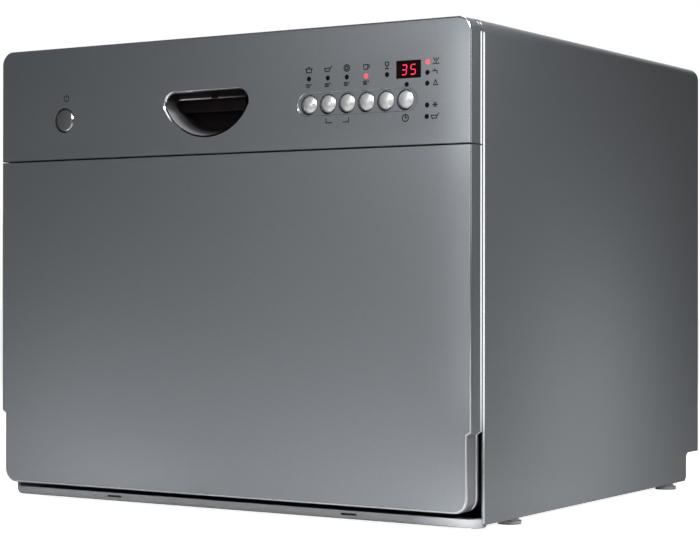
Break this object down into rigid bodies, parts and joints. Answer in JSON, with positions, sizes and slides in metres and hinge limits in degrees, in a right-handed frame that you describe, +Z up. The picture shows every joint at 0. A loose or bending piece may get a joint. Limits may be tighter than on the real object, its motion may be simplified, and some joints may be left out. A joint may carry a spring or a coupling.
{
  "type": "countertop dishwasher",
  "caption": "Compact free-standing dishwasher with a drop-down front door, wheeled wire rack, spray arm and push-button control panel",
  "frame": {"origin": "on the table, under the middle of the overall box", "axes": "+X to the right seen from the front, -Y towards the user (the door side), +Z up"},
  "size_m": [0.545, 0.515, 0.455],
  "materials": {
    "side_paint": "fine silver-grey metallic paint, satin",
    "front_paint": "fine silver-grey metallic paint, satin",
    "galvanised": "plain galvanised sheet",
    "screw_steel": "zinc-plated steel",
    "plinth_plastic": "grey moulded plastic",
    "stainless": "brushed stainless steel",
    "seal_rubber": "soft black rubber",
    "pressed_steel": "pressed steel",
    "sump_plastic": "dark grey moulded plastic",
    "arm_plastic": "grey moulded plastic",
    "heater_metal": "heat-stained steel tube",
    "pump_plastic": "black moulded plastic",
    "white_plastic": "white moulded plastic",
    "recess_plastic": "black moulded plastic",
    "control_silver": "silver plated plastic",
    "display_glass": "black window with red digits behind it",
    "lamp_dark": "small unlit lamp lens",
    "lamp_lit": "small lit red lamp lens",
    "board": "circuit board",
    "dispenser_plastic": "grey moulded plastic",
    "rack_coating": "grey nylon-coated wire",
    "rack_plastic": "grey moulded plastic",
    "basket_plastic": "grey-blue moulded plastic",
    "filter_plastic": "light grey moulded plastic",
    "foot_plastic": "pale moulded plastic"
  },
  "bodies": {
    "cabinet": {"casing_wrap": "side_paint", "back_panel": "galvanised", "panel_screws": "screw_steel", "base_tray": "plinth_plastic", "tub": "stainless", "door_gasket": "seal_rubber", "hinge_brackets": "pressed_steel", "hinge_pins": "screw_steel", "latch_strike": "pressed_steel", "sump": "sump_plastic", "filter_plate": "stainless", "spray_riser": "arm_plastic", "heater_element": "heater_metal", "circulation_pump": "pump_plastic", "drain_pump": "pump_plastic", "softener_tank": "white_plastic", "inlet_valve": "white_plastic", "drain_outlet": "sump_plastic", "air_break": "white_plastic", "cord_gland": "pump_plastic"},
    "door": {"door_panel": "front_paint", "control_fascia": "front_paint", "inner_door": "stainless", "hinge_arms": "pressed_steel", "handle_cup": "recess_plastic", "button_bezel": "control_silver", "display_window": "display_glass", "dark_indicators": "lamp_dark", "lit_indicators": "lamp_lit", "control_board": "board", "dispenser_body": "dispenser_plastic", "latch_bracket": "pressed_steel"},
    "rack": {"rack_frame": "rack_coating", "rack_wires": "rack_coating", "rack_tines": "rack_coating", "rack_clips": "rack_plastic"},
    "wheel_front_left": {"rack_wheel_front_left": "rack_plastic"},
    "wheel_front_right": {"rack_wheel_front_right": "rack_plastic"},
    "wheel_rear_left": {"rack_wheel_rear_left": "rack_plastic"},
    "wheel_rear_right": {"rack_wheel_rear_right": "rack_plastic"},
    "shelf": {"cup_shelf": "rack_coating"},
    "basket": {"cutlery_basket": "basket_plastic"},
    "arm": {"spray_arm": "arm_plastic"},
    "filter": {"filter_cup": "filter_plastic"},
    "cap": {"salt_cap": "filter_plastic"},
    "lever": {"handle_lever": "recess_plastic"},
    "hook": {"latch_hook": "pressed_steel"},
    "power": {"power_button": "control_silver"},
    "key_1": {"program_button_1": "control_silver"},
    "key_2": {"program_button_2": "control_silver"},
    "key_3": {"program_button_3": "control_silver"},
    "key_4": {"program_button_4": "control_silver"},
    "key_5": {"program_button_5": "control_silver"},
    "key_6": {"program_button_6": "control_silver"},
    "lid": {"dispenser_lid": "dispenser_plastic"},
    "rinse": {"rinse_aid_cap": "white_plastic"},
    "screw_foot_front_left": {"foot_front_left": "foot_plastic"},
    "screw_foot_front_right": {"foot_front_right": "foot_plastic"},
    "screw_foot_rear_left": {"foot_rear_left": "foot_plastic"},
    "screw_foot_rear_right": {"foot_rear_right": "foot_plastic"}
  },
  "joints": [
    {"name": "door_hinge", "type": "hinge", "parent": "cabinet", "child": "door", "pos_m": [0, -0.232, 0.084], "axis": [1, 0, 0], "range_deg": [0, 90]},
    {"name": "rack_slide", "type": "slide", "parent": "cabinet", "child": "rack", "axis": [0, -1, 0], "range_m": [0, 0.19]},
    {"name": "wheel_front_left_spin", "type": "hinge", "parent": "rack", "child": "wheel_front_left", "pos_m": [-0.2035, -0.096, 0.1153], "axis": [1, 0, 0], "continuous": true},
    {"name": "wheel_front_right_spin", "type": "hinge", "parent": "rack", "child": "wheel_front_right", "pos_m": [0.2035, -0.096, 0.1153], "axis": [1, 0, 0], "continuous": true},
    {"name": "wheel_rear_left_spin", "type": "hinge", "parent": "rack", "child": "wheel_rear_left", "pos_m": [-0.2035, 0.11, 0.1153], "axis": [1, 0, 0], "continuous": true},
    {"name": "wheel_rear_right_spin", "type": "hinge", "parent": "rack", "child": "wheel_rear_right", "pos_m": [0.2035, 0.11, 0.1153], "axis": [1, 0, 0], "continuous": true},
    {"name": "cup_shelf_fold", "type": "hinge", "parent": "rack", "child": "shelf", "pos_m": [-0.206, -0.01, 0.224], "axis": [0, 1, 0], "range_deg": [0, 90]},
    {"name": "basket_lift", "type": "slide", "parent": "rack", "child": "basket", "axis": [0, 0, 1], "range_m": [0, 0.12]},
    {"name": "spray_arm_spin", "type": "hinge", "parent": "cabinet", "child": "arm", "pos_m": [0, -0.008, 0.115], "axis": [0, 0, 1], "continuous": true},
    {"name": "filter_cup_turn", "type": "hinge", "parent": "cabinet", "child": "filter", "pos_m": [0, 0.074, 0.08], "axis": [0, 0, 1], "range_deg": [0, 90]},
    {"name": "salt_cap_turn", "type": "hinge", "parent": "cabinet", "child": "cap", "pos_m": [-0.14, -0.115, 0.106], "axis": [0, 0, 1], "range_deg": [0, 270]},
    {"name": "handle_lever_pull", "type": "hinge", "parent": "door", "child": "lever", "pos_m": [-0.015, -0.24, 0.394], "axis": [-1, 0, 0], "range_deg": [0, 16], "stiffness_Nm_per_rad": 1.5},
    {"name": "latch_hook_lift", "type": "hinge", "parent": "door", "child": "hook", "pos_m": [-0.015, -0.236, 0.4435], "axis": [1, 0, 0], "range_deg": [0, 4.4]},
    {"name": "power_button_press", "type": "slide", "parent": "door", "child": "power", "axis": [0, 1, 0], "range_m": [0, 0.003], "stiffness_N_per_m": 400},
    {"name": "program_button_1_press", "type": "slide", "parent": "door", "child": "key_1", "axis": [0, 1, 0], "range_m": [0, 0.002], "stiffness_N_per_m": 500},
    {"name": "program_button_2_press", "type": "slide", "parent": "door", "child": "key_2", "axis": [0, 1, 0], "range_m": [0, 0.002], "stiffness_N_per_m": 500},
    {"name": "program_button_3_press", "type": "slide", "parent": "door", "child": "key_3", "axis": [0, 1, 0], "range_m": [0, 0.002], "stiffness_N_per_m": 500},
    {"name": "program_button_4_press", "type": "slide", "parent": "door", "child": "key_4", "axis": [0, 1, 0], "range_m": [0, 0.002], "stiffness_N_per_m": 500},
    {"name": "program_button_5_press", "type": "slide", "parent": "door", "child": "key_5", "axis": [0, 1, 0], "range_m": [0, 0.002], "stiffness_N_per_m": 500},
    {"name": "program_button_6_press", "type": "slide", "parent": "door", "child": "key_6", "axis": [0, 1, 0], "range_m": [0, 0.002], "stiffness_N_per_m": 500},
    {"name": "dispenser_lid_slide", "type": "slide", "parent": "door", "child": "lid", "axis": [0, 0, -1], "range_m": [0, 0.054]},
    {"name": "rinse_aid_cap_turn", "type": "hinge", "parent": "door", "child": "rinse", "pos_m": [0.098, -0.215, 0.252], "axis": [0, 1, 0], "range_deg": [0, 90]},
    {"name": "foot_front_left_adjust", "type": "slide", "parent": "cabinet", "child": "screw_foot_front_left", "axis": [0, 0, -1], "range_m": [0, 0.012]},
    {"name": "foot_front_right_adjust", "type": "slide", "parent": "cabinet", "child": "screw_foot_front_right", "axis": [0, 0, -1], "range_m": [0, 0.012]},
    {"name": "foot_rear_left_adjust", "type": "slide", "parent": "cabinet", "child": "screw_foot_rear_left", "axis": [0, 0, -1], "range_m": [0, 0.012]},
    {"name": "foot_rear_right_adjust", "type": "slide", "parent": "cabinet", "child": "screw_foot_rear_right", "axis": [0, 0, -1], "range_m": [0, 0.012]}
  ],
  "couplings": [
    {"joint": "rack_slide", "follows": "door_hinge", "m_per_rad": 0.12},
    {"joint": "latch_hook_lift", "follows": "handle_lever_pull", "ratio": 0.266}
  ]
}
